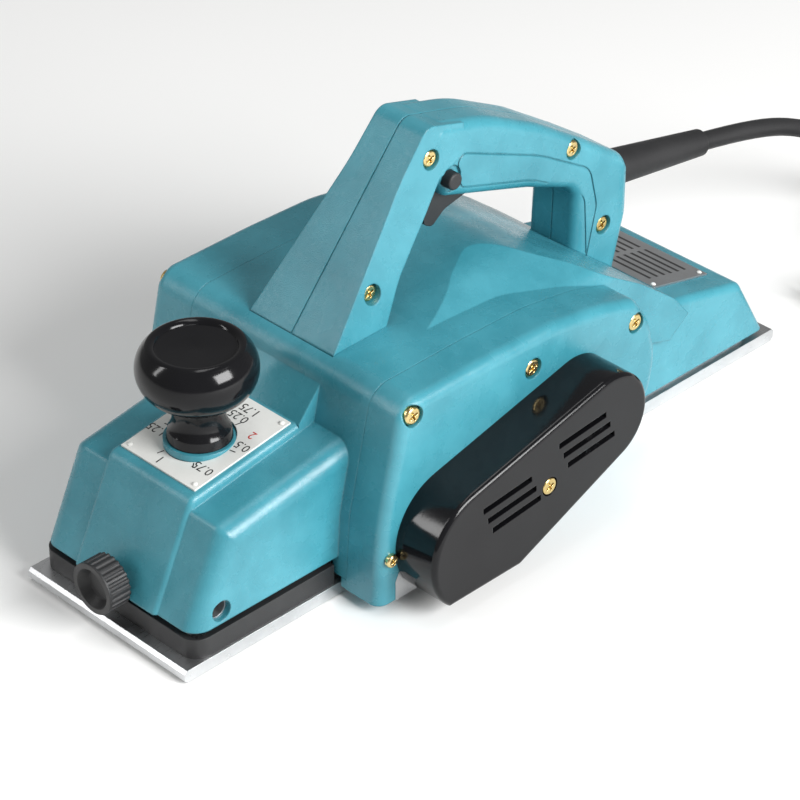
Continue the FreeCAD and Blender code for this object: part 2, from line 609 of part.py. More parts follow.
# ================================================================ belt drive and its cover
def track_between(r_front, r_rear, x0, x1):
    """The hull of two circles, one round each pulley's axis."""
    dy = MOTOR_Y - DRUM_Y
    dz = MOTOR_Z - DRUM_Z
    reach = math.hypot(dy, dz)
    base = math.atan2(dz, dy)
    open_angle = math.acos((r_front - r_rear) / reach)

    def at(cy, cz, r, angle):
        return V(x0, cy + r * math.cos(angle), cz + r * math.sin(angle))

    up = base + open_angle
    down = base - open_angle
    f_up = at(DRUM_Y, DRUM_Z, r_front, up)
    f_far = at(DRUM_Y, DRUM_Z, r_front, base + math.pi)
    f_down = at(DRUM_Y, DRUM_Z, r_front, down)
    r_up = at(MOTOR_Y, MOTOR_Z, r_rear, up)
    r_far = at(MOTOR_Y, MOTOR_Z, r_rear, base)
    r_down = at(MOTOR_Y, MOTOR_Z, r_rear, down)
    wire = Part.Wire([Part.Arc(f_up, f_far, f_down).toShape(), Part.LineSegment(f_down, r_down).toShape(),
                      Part.Arc(r_down, r_far, r_up).toShape(), Part.LineSegment(r_up, f_up).toShape()])
    return Part.Face(wire).extrude(V(x1 - x0, 0, 0))


def along_belt(shape_at_origin, share, offset, x):
    """Places a shape made along +Y at a share of the way between the pulleys."""
    dy = MOTOR_Y - DRUM_Y
    dz = MOTOR_Z - DRUM_Z
    angle = math.degrees(math.atan2(dz, dy))
    up = V(0, -dz, dy).normalize()
    place = V(x, DRUM_Y + dy * share, DRUM_Z + dz * share).add(up.multiply(offset))
    shape = shape_at_origin.copy()
    shape.rotate(V(0, 0, 0), AXIS_X, angle)
    shape.translate(place)
    return shape


SLOT_L = 28.0
SLOT_W = 2.8
SLOT_TILT = 5.0              # the slots lie nearly level, not along the belt
SLOT_STEP = (2.8, 5.9)       # from one slot of a group to the next
SLOT_GROUPS = ((-41.0, 40.5), (2.5, 51.0))
BELT_BACK = LEFT_FACE        # the belt cover's rim sits on the left cover
COVER_SCREW_SHARE = 0.5
COVER_SCREW_OFFSET = -2.0


def belt_screw_hole(x):
    """Hole of the belt cover's screw, back from the given place."""
    return along_belt(turned(V(0, 0, 0), V(-1, 0, 0), 2.0, 40), COVER_SCREW_SHARE, COVER_SCREW_OFFSET, x)


def belt_cover():
    outer = track_between(BELT_FRONT_R, BELT_REAR_R, BELT_BACK, BELT_FACE)
    outer = outer.cut(box(BELT_BACK - 1, BELT_FACE + 1, -120.0, 60.0, -20.0, BELT_FOOT_Z))
    rim = [e for e in outer.Edges if abs(e.CenterOfMass.x - BELT_FACE) < 0.01]
    outer = outer.makeFillet(BELT_ROUND, rim)
    room = track_between(BELT_FRONT_R - COVER_WALL, BELT_REAR_R - COVER_WALL, BELT_BACK - 1, BELT_FACE - COVER_WALL)
    room = room.cut(box(BELT_BACK - 2, BELT_FACE, -120.0, 60.0, -20.0, BELT_FOOT_Z + COVER_WALL))
    shell = outer.cut(room)
    slot = box(-4, 4, -SLOT_L / 2, SLOT_L / 2, -SLOT_W / 2, SLOT_W / 2)
    slot.rotate(V(0, 0, 0), AXIS_X, SLOT_TILT)
    for y, z in SLOT_GROUPS:
        for row in (-1, 0, 1):
            shift = V(BELT_FACE, y - row * SLOT_STEP[0], z + row * SLOT_STEP[1])
            shell = shell.cut(slot.translated(shift))
    post = along_belt(turned(V(0, 0, 0), V(-1, 0, 0), 4.5, BELT_FACE - BELT_BACK - 0.4), COVER_SCREW_SHARE,
                      COVER_SCREW_OFFSET, BELT_FACE - 0.4)
    shell = shell.fuse(post)
    sink = along_belt(turned(V(1, 0, 0), V(-1, 0, 0), 4.3, 2.6), COVER_SCREW_SHARE, COVER_SCREW_OFFSET, BELT_FACE)
    return shell.cut(belt_screw_hole(BELT_FACE + 1)).cut(sink).removeSplitter()


def belt_cover_screw():
    dy = MOTOR_Y - DRUM_Y
    dz = MOTOR_Z - DRUM_Z
    up = V(0, -dz, dy).normalize().multiply(COVER_SCREW_OFFSET)
    at = V(BELT_FACE - 1.6, DRUM_Y + dy * COVER_SCREW_SHARE, DRUM_Z + dz * COVER_SCREW_SHARE).add(up)
    return pan_screw(at, AXIS_X, 3.8, 1.8, 2.0, BELT_FACE - LEFT_FACE + 0.5)


BELT_MID = (LEFT_FACE + BELT_FACE - COVER_WALL) / 2 - 0.75


def drive_belt():
    x0 = BELT_MID - BELT_W / 2
    x1 = BELT_MID + BELT_W / 2
    gap = 0.3
    outer = track_between(DRUM_PULLEY_R + gap + BELT_T, MOTOR_PULLEY_R + gap + BELT_T, x0, x1)
    inner = track_between(DRUM_PULLEY_R + gap, MOTOR_PULLEY_R + gap, x0 - 1, x1 + 1)
    return outer.cut(inner)


NUT_R = 7.5
NUT_T = 2.8


def pulley_nut(y, z, bore):
    """Hexagon nut that holds a pulley."""
    points = [V(0, NUT_R * math.cos(math.radians(60 * i)), NUT_R * math.sin(math.radians(60 * i))) for i in range(7)]
    nut = Part.Face(Part.makePolygon(points)).extrude(V(NUT_T, 0, 0))
    nut.translate(V(BELT_MID + BELT_W / 2 + 0.6, y, z))
    return nut.cut(rod_x(y, z, bore, BELT_MID, BELT_MID + BELT_W))


def pulley(y, z, radius, bore):
    """A ribbed pulley between two thin flanges."""
    x0 = BELT_MID - BELT_W / 2 - 0.6
    x1 = BELT_MID + BELT_W / 2 + 0.6
    body = rod_x(y, z, radius, x0, x1)
    for step in range(5):
        x = BELT_MID - 4.4 + step * 2.2
        body = body.cut(ring_x(y, z, radius + 1, radius - 1.0, x - 0.5, x + 0.5))
    return body.cut(rod_x(y, z, bore, x0 - 1, x1 + 1))


# ================================================================ cutter drum
NUT_BORE = 4.0
SHAFT_LEFT = BELT_MID + BELT_W / 2 + 4.0
SLOT_OFFSET = 15.0           # how far each blade slot reaches in from the rim
DRUM_HALF = DRUM_LENGTH / 2


def drum_slot(length):
    """Room for one blade and its clamp, cut into the drum's rim towards +Z."""
    return box(-length / 2, length / 2, -CLAMP_T, BLADE_T, DRUM_R - SLOT_OFFSET, DRUM_R + 10)


def at_drum(shape, half_turn):
    shape = shape.copy()
    shape.rotate(V(0, 0, 0), AXIS_X, 90 + 180 * half_turn)
    shape.translate(V(0, DRUM_Y, DRUM_Z))
    return shape


def cutter_drum():
    drum = rod_x(DRUM_Y, DRUM_Z, DRUM_R, -DRUM_HALF, DRUM_HALF)
    for half_turn in (0, 1):
        drum = drum.cut(at_drum(drum_slot(DRUM_LENGTH + 2), half_turn))
    shaft = rod_x(DRUM_Y, DRUM_Z, DRUM_SHAFT_R, -CASE_HALF + 1.0, BELT_MID + BELT_W / 2 + 0.6)
    thread = rod_x(DRUM_Y, DRUM_Z, NUT_BORE, BELT_MID, SHAFT_LEFT)
    collars = [ring_x(DRUM_Y, DRUM_Z, DRUM_SHAFT_R + 2.0, DRUM_SHAFT_R - 1, x, x + 4.4)
               for x in (-DRUM_HALF - 4.6, DRUM_HALF + 0.2)]
    holes = []
    for half_turn in (0, 1):
        for x in BLADE_BOLT_X:
            hole = turned(V(x, -CLAMP_T - 7.0, DRUM_R - SLOT_OFFSET + 6.0), AXIS_Y, 2.5, 8.0)
            holes.append(at_drum(hole, half_turn))
    drum = union([drum, shaft, thread] + collars)
    return drum.cut(Part.makeCompound(holes))


BLADE_BOLT_X = (-30.0, 0.0, 30.0)


def planer_blades():
    blades = []
    top = math.sqrt(CUT_R ** 2 - BLADE_T ** 2) - 0.02
    for half_turn in (0, 1):
        blade = box(-DRUM_HALF, DRUM_HALF, 0, BLADE_T, top - BLADE_DEEP, top)
        bevel = [e for e in blade.Edges if abs(e.CenterOfMass.y) < 0.01 and abs(e.CenterOfMass.z - top) < 0.01]
        blade = blade.makeChamfer(0.9, bevel)
        blades.append(at_drum(blade, half_turn))
    return Part.makeCompound(blades)


def blade_clamps():
    clamps = []
    for half_turn in (0, 1):
        clamp = box(-DRUM_HALF, DRUM_HALF, -CLAMP_T, 0, DRUM_R - SLOT_OFFSET, DRUM_R + 0.6)
        outer = [e for e in clamp.Edges if abs(e.CenterOfMass.y + CLAMP_T) < 0.01
                 and abs(e.CenterOfMass.z - DRUM_R - 0.6) < 0.01]
        clamp = clamp.makeChamfer(2.2, outer)
        for x in BLADE_BOLT_X:
            clamp = clamp.cut(turned(V(x, -CLAMP_T, DRUM_R - SLOT_OFFSET + 6.0), AXIS_Y, 2.5, CLAMP_T - 1.5))
        clamps.append(at_drum(clamp, half_turn))
    return Part.makeCompound(clamps)


def blade_bolts():
    bolts = []
    for half_turn in (0, 1):
        for x in BLADE_BOLT_X:
            at = V(x, -CLAMP_T - 6.8, DRUM_R - SLOT_OFFSET + 6.0)
            bolts.append(at_drum(turned(at, AXIS_Y, 2.5, CLAMP_T + 4.8), half_turn))
    return Part.makeCompound(bolts)


def bearing(y, z, x0, width, r_out, r_in):
    """Both races, the shields and the balls between them, as one closed ring."""
    ring = ring_x(y, z, r_out, r_in, x0, x0 + width)
    step = (r_out - r_in) * 0.3
    for x in (x0 - 1, x0 + width - 0.5):
        ring = ring.cut(ring_x(y, z, r_out - step, r_in + step, x, x + 1.5))
    return ring


# ================================================================ motor
BEARING_RIGHT_X = RIGHT_FACE + COVER_WALL
CORE_X = (-20.0, 24.0)
FAN_X = (36.0, 48.0)
COMMUTATOR_X = (-50.0, -37.0)


def motor_shaft():
    shaft = rod_x(MOTOR_Y, MOTOR_Z, SHAFT_R, -60.0, BELT_MID + BELT_W / 2 + 0.6)
    thread = rod_x(MOTOR_Y, MOTOR_Z, NUT_BORE, BELT_MID, SHAFT_LEFT)
    stub = rod_x(MOTOR_Y, MOTOR_Z, 4.0, BEARING_RIGHT_X + 0.4, -59.0)
    return union([shaft, thread, stub])


def armature_core():
    core = rod_x(MOTOR_Y, MOTOR_Z, ARMATURE_R, *CORE_X)
    for index in range(12):
        slot = box(CORE_X[0] - 1, CORE_X[1] + 1, -1.2, 1.2, ARMATURE_R - 6, ARMATURE_R + 2)
        slot.rotate(V(0, 0, 0), AXIS_X, 30 * index)
        slot.translate(V(0, MOTOR_Y, MOTOR_Z))
        core = core.cut(slot)
    return core.cut(rod_x(MOTOR_Y, MOTOR_Z, SHAFT_R, -60, 60))


def armature_windings():
    bundles = []
    for x0, x1 in ((CORE_X[0] - 9.0, CORE_X[0]), (CORE_X[1], CORE_X[1] + 8.0)):
        ring = ring_x(MOTOR_Y, MOTOR_Z, ARMATURE_R - 2.0, SHAFT_R, x0, x1)
        outer = [e for e in ring.Edges if e.BoundBox.YLength > 2 * SHAFT_R + 4]
        bundles.append(ring.makeFillet(3.0, outer))
    return Part.makeCompound(bundles)


def commutator():
    drum = ring_x(MOTOR_Y, MOTOR_Z, 12.0, SHAFT_R, *COMMUTATOR_X)
    for index in range(24):
        slot = box(COMMUTATOR_X[0] - 1, COMMUTATOR_X[1] + 1, -0.25, 0.25, 11.2, 13.0)
        slot.rotate(V(0, 0, 0), AXIS_X, 15 * index)
        slot.translate(V(0, MOTOR_Y, MOTOR_Z))
        drum = drum.cut(slot)
    return drum


def cooling_fan():
    hub = ring_x(MOTOR_Y, MOTOR_Z, 10.0, SHAFT_R, *FAN_X)
    disc = ring_x(MOTOR_Y, MOTOR_Z, 31.0, SHAFT_R, FAN_X[1] - 2.0, FAN_X[1])
    vanes = []
    for index in range(14):
        vane = box(FAN_X[0], FAN_X[1] - 1, -0.8, 0.8, 9.0, 30.5)
        vane.rotate(V(0, 0, 0), AXIS_X, index * 360.0 / 14)
        vane.translate(V(0, MOTOR_Y, MOTOR_Z))
        vanes.append(vane)
    return union([hub, disc] + vanes)


def fan_baffle():
    ring = ring_x(MOTOR_Y, MOTOR_Z, 35.5, 24.0, FAN_X[0] - 5.0, FAN_X[0] - 2.5)
    lip = ring_x(MOTOR_Y, MOTOR_Z, 35.5, 33.5, FAN_X[0] - 3.0, FAN_X[0] + 6.0)
    return union([ring, lip])


def field_stator():
    ring = ring_x(MOTOR_Y, MOTOR_Z, STATOR_R, STATOR_R - 6.5, CORE_X[0] - 1, CORE_X[0] - 1 + STATOR_L)
    poles = []
    for side in (-1, 1):
        pole = box(CORE_X[0] - 1, CORE_X[0] - 1 + STATOR_L, -13.0, 13.0, 10.0, STATOR_R - 3)
        pole.rotate(V(0, 0, 0), AXIS_X, 90 * side)
        pole.translate(V(0, MOTOR_Y, MOTOR_Z))
        poles.append(pole.common(rod_x(MOTOR_Y, MOTOR_Z, STATOR_R - 2, -60, 60)))
    whole = union([ring] + poles)
    return whole.cut(rod_x(MOTOR_Y, MOTOR_Z, ARMATURE_R + AIR_GAP, -60, 60))


def field_coils():
    """One coil round each pole, seen as a bundle at each end of the stator."""
    coils = []
    stack = (CORE_X[0] - 1, CORE_X[0] - 1 + STATOR_L)
    for x0, x1 in ((stack[0] - 7.0, stack[0]), (stack[1], stack[1] + 4.0)):
        ring = ring_x(MOTOR_Y, MOTOR_Z, STATOR_R - 4.0, ARMATURE_R + 1.0, x0, x1)
        for side in (-1, 1):
            half = box(x0 - 1, x1 + 1, -40, 40, 4.0, 50)
            half.rotate(V(0, 0, 0), AXIS_X, 90 * side)
            half.translate(V(0, MOTOR_Y, MOTOR_Z))
            coils.append(ring.common(half))
    return Part.makeCompound(coils)


BRUSH_X = (COMMUTATOR_X[0] + COMMUTATOR_X[1]) / 2


def brush_holders():
    holders = []
    for side in (-1, 1):
        holder = box(BRUSH_X - 5.5, BRUSH_X + 5.5, -5.0, 5.0, 14.0, 33.0)
        holder = holder.cut(box(BRUSH_X - 4, BRUSH_X + 4, -3.2, 3.2, 10, 31.0))
        holder.rotate(V(0, 0, 0), AXIS_X, 90 * side)
        holder.translate(V(0, MOTOR_Y, MOTOR_Z))
        holders.append(holder)
    return Part.makeCompound(holders)


def carbon_brushes():
    brushes = []
    for side in (-1, 1):
        brush = box(BRUSH_X - 4, BRUSH_X + 4, -3.2, 3.2, 12.3, 26.0)
        brush.rotate(V(0, 0, 0), AXIS_X, 90 * side)
        brush.translate(V(0, MOTOR_Y, MOTOR_Z))
        brushes.append(brush)
    return Part.makeCompound(brushes)


# ================================================================ depth adjuster and nose fittings
def depth_knob():
    """Turned knob: dished top, round bulb, waist and flared collar."""
    top = KNOB_TOP
    foot = block_top(KNOB_Y) + 2.3
    centre = V(0, 0, top - 2.0)
    dish_rim = V(0.65 * KNOB_R, 0, top - 1.4)
    lip_out = V(0.83 * KNOB_R, 0, top - 0.9)
    bulb_out = V(0.83 * KNOB_R, 0, top - 21.0)
    bulb_low = V(12.4, 0, top - 26.0)
    dish = Part.LineSegment(centre, dish_rim).toShape()
    lip = Part.Arc(dish_rim, V(0.73 * KNOB_R, 0, top + 0.1), lip_out).toShape()
    bulb = Part.Arc(lip_out, V(KNOB_R, 0, top - 11.0), bulb_out).toShape()
    under = Part.Arc(bulb_out, V(0.66 * KNOB_R, 0, top - 24.2), bulb_low).toShape()
    waist = Part.Arc(bulb_low, V(10.8, 0, (top - 26.0 + foot + 4.0) / 2), V(COLLAR_R - 0.6, 0, foot + 4.0)).toShape()
    flare = Part.LineSegment(V(COLLAR_R - 0.6, 0, foot + 4.0), V(COLLAR_R, 0, foot)).toShape()
    base = Part.LineSegment(V(COLLAR_R, 0, foot), V(SPINDLE_R, 0, foot)).toShape()
    bore = Part.LineSegment(V(SPINDLE_R, 0, foot), V(SPINDLE_R, 0, top - 12.0)).toShape()
    cap = Part.LineSegment(V(SPINDLE_R, 0, top - 12.0), V(0, 0, top - 12.0)).toShape()
    core = Part.LineSegment(V(0, 0, top - 12.0), centre).toShape()
    wire = Part.Wire([dish, lip, bulb, under, waist, flare, base, bore, cap, core])
    knob = Part.Face(wire).revolve(V(0, 0, 0), AXIS_Z, 360)
    knob.translate(V(0, KNOB_Y, 0))
    return knob


def depth_spindle():
    low = PLATE_FRONT + DEPTH_MAX + 1.5
    return turned(V(0, KNOB_Y, low), AXIS_Z, SPINDLE_R, KNOB_TOP - 12.0 - low)


def knob_seat():
    """Ring on the nose that the knob's collar turns over."""
    foot = block_top(KNOB_Y) - 1.0
    ring = turned(V(0, KNOB_Y, foot), AXIS_Z, SEAT_R, 3.0)
    ring = ring.cut(turned(V(0, KNOB_Y, foot - 1), AXIS_Z, SPINDLE_R + RUN, 6.0))
    return ring.cut(scale_solid(6.0, -6.0, bore=False))


def scale_solid(width_extra, height, bore=True):
    """The scale plate's slab; a negative height gives the space below it."""
    t = height
    low = min(0.0, t)
    slab_box = Part.makeBox(SCALE_W + width_extra, SCALE_L + width_extra, abs(t),
                            V(-(SCALE_W + width_extra) / 2, -width_extra / 2, low))
    slab_box.rotate(V(0, 0, 0), AXIS_X, SCALE_SLOPE)
    slab_box.translate(V(0, SCALE_FRONT_Y, SCALE_FRONT_Z))
    if bore:
        slab_box = slab_box.cut(turned(V(0, KNOB_Y, 50), AXIS_Z, SEAT_R, 40))
    return slab_box


def scale_plate():
    return scale_solid(0.0, SCALE_T)


NAMEPLATE = (34.0, 37.0, 109.0, 1.0)      # half width, length, front y, thickness


def nameplate():
    half, length, y0, t = NAMEPLATE
    plate = Part.makeBox(2 * half, length, t, V(-half, 0, 0))
    slope = math.degrees(math.atan(-0.235))
    plate.rotate(V(0, 0, 0), AXIS_X, slope)
    plate.translate(V(0, y0, rear_top(y0)))
    return plate.cut(dome_solid())


def plate_rivets():
    rivets = []
    slope = math.radians(SCALE_SLOPE)
    for x in (-SCALE_W / 2 + 2.6, SCALE_W / 2 - 2.6):
        for s in (2.6, SCALE_L - 2.6):
            at = V(x, SCALE_FRONT_Y + s * math.cos(slope) - SCALE_T * math.sin(slope),
                   SCALE_FRONT_Z + s * math.sin(slope) + SCALE_T * math.cos(slope))
            head = Part.makeSphere(1.5, V(0, 0, -0.75), AXIS_Z, 30, 90, 360)
            head.rotate(V(0, 0, 0), AXIS_X, SCALE_SLOPE)
            head.translate(at)
            rivets.append(head)
    half, length, y0, t = NAMEPLATE
    slope = math.atan(-0.235)
    for x in (-half + 2.6, half - 2.6):
        for s in (2.6, length - 2.6):
            at = V(x, y0 + s * math.cos(slope) - t * math.sin(slope),
                   rear_top(y0) + s * math.sin(slope) + t * math.cos(slope))
            head = Part.makeSphere(1.5, V(0, 0, -0.75), AXIS_Z, 30, 90, 360)
            head.rotate(V(0, 0, 0), AXIS_X, math.degrees(slope))
            head.translate(at)
            rivets.append(head)
    return Part.makeCompound(rivets)


def guide_rod_block():
    block = box(-NOSE_HALF + WALL, NOSE_HALF - WALL, ROD_Y - 5.0, ROD_Y + 6.5, NOSE_FOOT + 0.2, ROD_Z + 6.0)
    block = block.cut(rod_x(ROD_Y, ROD_Z, ROD_R, -60, 60))
    return block.cut(turned(V(0, -170, ROD_Z), AXIS_Y, STUD_R + RUN, 12.0))


THUMB_FACE = -183.0


def thumb_screw():
    """Knurled hand screw with a cupped face."""
    knob = turned(V(0, THUMB_FACE, ROD_Z), AXIS_Y, THUMB_R, THUMB_L)
    cup = Part.makeCone(THUMB_R - 2.4, THUMB_R - 5.0, 4.0, V(0, THUMB_FACE - 0.01, ROD_Z), AXIS_Y)
    knob = knob.cut(cup)
    grooves = []
    count = 24
    for index in range(count):
        angle = 2 * math.pi * index / count
        at = V((THUMB_R + 0.35) * math.cos(angle), THUMB_FACE + 1.0, ROD_Z + (THUMB_R + 0.35) * math.sin(angle))
        grooves.append(turned(at, AXIS_Y, 1.0, THUMB_L))
    knob = knob.cut(Part.makeCompound(grooves))
    return knob.cut(turned(V(0, THUMB_FACE + 5.0, ROD_Z), AXIS_Y, STUD_R, THUMB_L))


def thumb_stud():
    tip = ROD_Y - ROD_R - 0.4
    return turned(V(0, THUMB_FACE + 5.0, ROD_Z), AXIS_Y, STUD_R, tip - THUMB_FACE - 5.0)


# ================================================================ handle
def arm_wedge(shrink):
    """Front-view outline of the handle's front arm: wide at its foot and narrow at the top."""
    foot = ARM_FOOT_HALF - shrink
    top = ARM_TOP_HALF - shrink
    grip = GRIP_HALF - shrink
    points = ((-foot - 1.0, 60.0), (-foot, 92.0), (-grip, 150.0, 80), (-top, 180.0), (top, 180.0),
              (grip, 150.0, 80), (foot, 92.0), (foot + 1.0, 60.0))
    return front_slab(points, -140.0, 80.0)


def handle_solid():
    arm = slab(ARM_OUTLINE, -40, 40).common(arm_wedge(0))
    grip = slab(GRIP_OUTLINE, -GRIP_HALF, GRIP_HALF)
    soft = [e for e in grip.Edges if abs(abs(e.CenterOfMass.x) - GRIP_HALF) < 0.1]
    plan = box(-GRIP_HALF, GRIP_HALF, -60.0, GRIP_REAR, 30.0, 200.0)
    corners = [e for e in plan.Edges if e.BoundBox.ZLength > 100 and e.CenterOfMass.y > 0]
    plan = plan.makeFillet(GRIP_REAR_ROUND, corners)
    return union([arm, grip.makeFillet(GRIP_ROUND, soft).common(plan)])


def handle_room():
    arm = hollow_slab(ARM_OUTLINE, HANDLE_WALL, -40, 40).common(arm_wedge(HANDLE_WALL))
    grip = hollow_slab(GRIP_OUTLINE, HANDLE_WALL + 0.5, -GRIP_HALF + HANDLE_WALL, GRIP_HALF - HANDLE_WALL)
    return union([arm, grip])


HANDLE_SCREWS = ((-9.0, 154.0), (76.0, 125.0), (96.5, 80.0), (-49.0, 111.0))


def handle_shell():
    shell = handle_solid()
    for other in (body_solid(), dome_solid(), rear_solid(), nose_solid(0), fairing()):
        shell = shell.cut(other)
    shell = shell.cut(handle_room())
    slot = slab(((-12.0, 141.0), (20.0, 138.5), (33.0, 134.5), (32.0, 112.0), (-12.0, 112.0)),
                -TRIGGER_HALF - CLEAR, TRIGGER_HALF + CLEAR)
    shell = shell.cut(slot)
    exit_hole = turned(GUARD_START.sub(guard_direction().multiply(14)), guard_direction(), GUARD_R_IN, 40.0)
    shell = shell.cut(exit_hole)
    y, z = TRIGGER_PIN
    shell = shell.cut(rod_x(y, z, TRIGGER_PIN_R, -GRIP_HALF + 1.2, GRIP_HALF - 1.2))
    panel = slab(GRIP_PANEL, -40.0, 40.0).cut(hollow_slab(GRIP_PANEL, PANEL_GROOVE, -41.0, 41.0))
    shell = shell.cut(panel.cut(box(-GRIP_HALF + PANEL_GROOVE, GRIP_HALF - PANEL_GROOVE, -50, 150, 0, 200)))
    y, z = LOCK_AT
    shell = shell.cut(rod_x(y, z, LOCK_DISH_R, GRIP_HALF - 1.4, 30.0))
    return shell.cut(rod_x(y, z, LOCK_R + RUN, 0.0, 30.0))


def screw_depth(y):
    """How far out the left face stands at a handle screw."""
    return 20.6 if y < -30 else GRIP_HALF


def handle_posts(sign):
    posts = []
    for y, z in HANDLE_SCREWS:
        out = screw_depth(y) - 1.0
        low, high = (0.0, out) if sign > 0 else (-out, 0.0)
        posts.append(rod_x(y, z, 5.0, low, high))
    return posts


def handle_half(sign):
    side = box(0, 60, -200, 200, 0, 300) if sign > 0 else box(-60, 0, -200, 200, 0, 300)
    seam = box(-SEAM / 2, SEAM / 2, -200, 200, 0, 300)
    shell = handle_shell().common(side).cut(seam)
    outer = handle_solid().common(side)
    posts = [post.common(outer) for post in handle_posts(sign)]
    shell = shell.fuse(posts)
    for y, z in HANDLE_SCREWS:
        out = screw_depth(y)
        shell = shell.cut(rod_x(y, z, 1.9, -out + 3.0, 60))
        if sign > 0:
            shell = shell.cut(rod_x(y, z, SCREW_HEAD_R + 0.5, out - 3.2, 60))
    return largest(shell)


def handle_screws():
    screws = []
    for y, z in HANDLE_SCREWS:
        out = screw_depth(y)
        screws.append(pan_screw(V(out - 3.2, y, z), AXIS_X, SCREW_HEAD_R - 0.2, 2.5, 1.9, out * 2 - 7.5))
    return Part.makeCompound(screws)


def trigger():
    py, pz = TRIGGER_PIN
    side = ((py + 3.5, pz + 2.5), (py + 3.5, pz - 4.0, 2), (18.0, 124.5, 12), (6.0, 122.0, 8), (-1.0, 116.5, 3),
            (-5.5, 119.0, 3), (-6.5, 128.0), (-5.0, 134.0), (2.0, 136.5), (18.0, 135.5))
    solid = slab(side, -TRIGGER_HALF, TRIGGER_HALF)
    return solid.cut(rod_x(py, pz, TRIGGER_PIN_R + RUN, -20, 20))


def trigger_pin():
    y, z = TRIGGER_PIN
    return rod_x(y, z, TRIGGER_PIN_R, -GRIP_HALF + 1.2, GRIP_HALF - 1.2)


def switch_body():
    body = slab(((16.0, 141.0), (44.0, 130.5), (49.0, 142.0), (20.0, 154.0)), -8.0, 8.0)
    return body.cut(rod_x(*TRIGGER_PIN, 2.5, -20, 20))


def lock_button():
    y, z = LOCK_AT
    face = GRIP_HALF + LOCK_PROUD
    pin = rod_x(y, z, LOCK_R, TRIGGER_HALF + LOCK_TRAVEL + 0.6, face)
    return pin.makeFillet(1.0, [e for e in pin.Edges if abs(e.CenterOfMass.x - face) < 0.01])


def capacitor():
    return box(-5.0, 5.0, 48.0, 68.0, 120.5, 128.5)


# ================================================================ cord
def guard_direction():
    dip = math.radians(GUARD_DIP)
    return V(0, math.cos(dip), -math.sin(dip))


def guard_end():
    return GUARD_START.add(guard_direction().multiply(GUARD_L))


def cord_guard():
    """Moulded rubber sleeve; its root is held inside the handle."""
    direction = guard_direction()
    root = turned(GUARD_START.sub(V(direction).multiply(9.0)), direction, GUARD_R_IN - 0.1, 9.0)
    cone = Part.makeCone(GUARD_R_IN - 0.1, GUARD_R_OUT, GUARD_L, GUARD_START, direction)
    return union([root, cone])


def cord_clamp():
    """Bar that grips the cord inside the handle."""
    bar = box(-9.5, 9.5, 98.0, 104.0, 92.0, 101.0)
    return bar


def power_cord():
    start = guard_end()
    points = [start, start.add(guard_direction().multiply(CORD_FIRST))] + [V(*p) for p in CORD_ROUTE]
    return cord_tube(points, "power_cord")


def cord_coil():
    x, y = COIL_AT
    ring = turned(V(x, y, 0.1), AXIS_Z, COIL_R_OUT, COIL_H).cut(turned(V(x, y, -1), AXIS_Z, COIL_R_IN, COIL_H + 3))
    return ring.makeFillet(4.0, [e for e in ring.Edges if e.BoundBox.ZLength < 0.01])


def cord_tail():
    return cord_tube([V(*p) for p in TAIL_ROUTE], "cord_tail")


def plug_frame():
    """Placement of the plug, which lies where the tail ends."""
    end = V(*TAIL_ROUTE[-1])
    before = V(*TAIL_ROUTE[-2])
    heading = math.degrees(math.atan2(end.y - before.y, end.x - before.x))
    return end, heading


def plug_body():
    end, heading = plug_frame()
    body = box(0, PLUG_L, -PLUG_W / 2, PLUG_W / 2, -PLUG_H / 2, PLUG_H / 2)
    edges = [e for e in body.Edges if e.BoundBox.XLength > PLUG_L - 1]
    body = body.makeFillet(4.0, edges)
    body.rotate(V(0, 0, 0), AXIS_Z, heading)
    body.translate(V(end.x, end.y, PLUG_Z))
    return body


def plug_pins():
    end, heading = plug_frame()
    pins = []
    for side in (-1, 1):
        pin = box(PLUG_L, PLUG_L + PIN_L, side * 6.35 - 0.75, side * 6.35 + 0.75, -3.15, 3.15)
        pin.rotate(V(0, 0, 0), AXIS_Z, heading)
        pin.translate(V(end.x, end.y, PLUG_Z))
        pins.append(pin)
    return Part.makeCompound(pins)


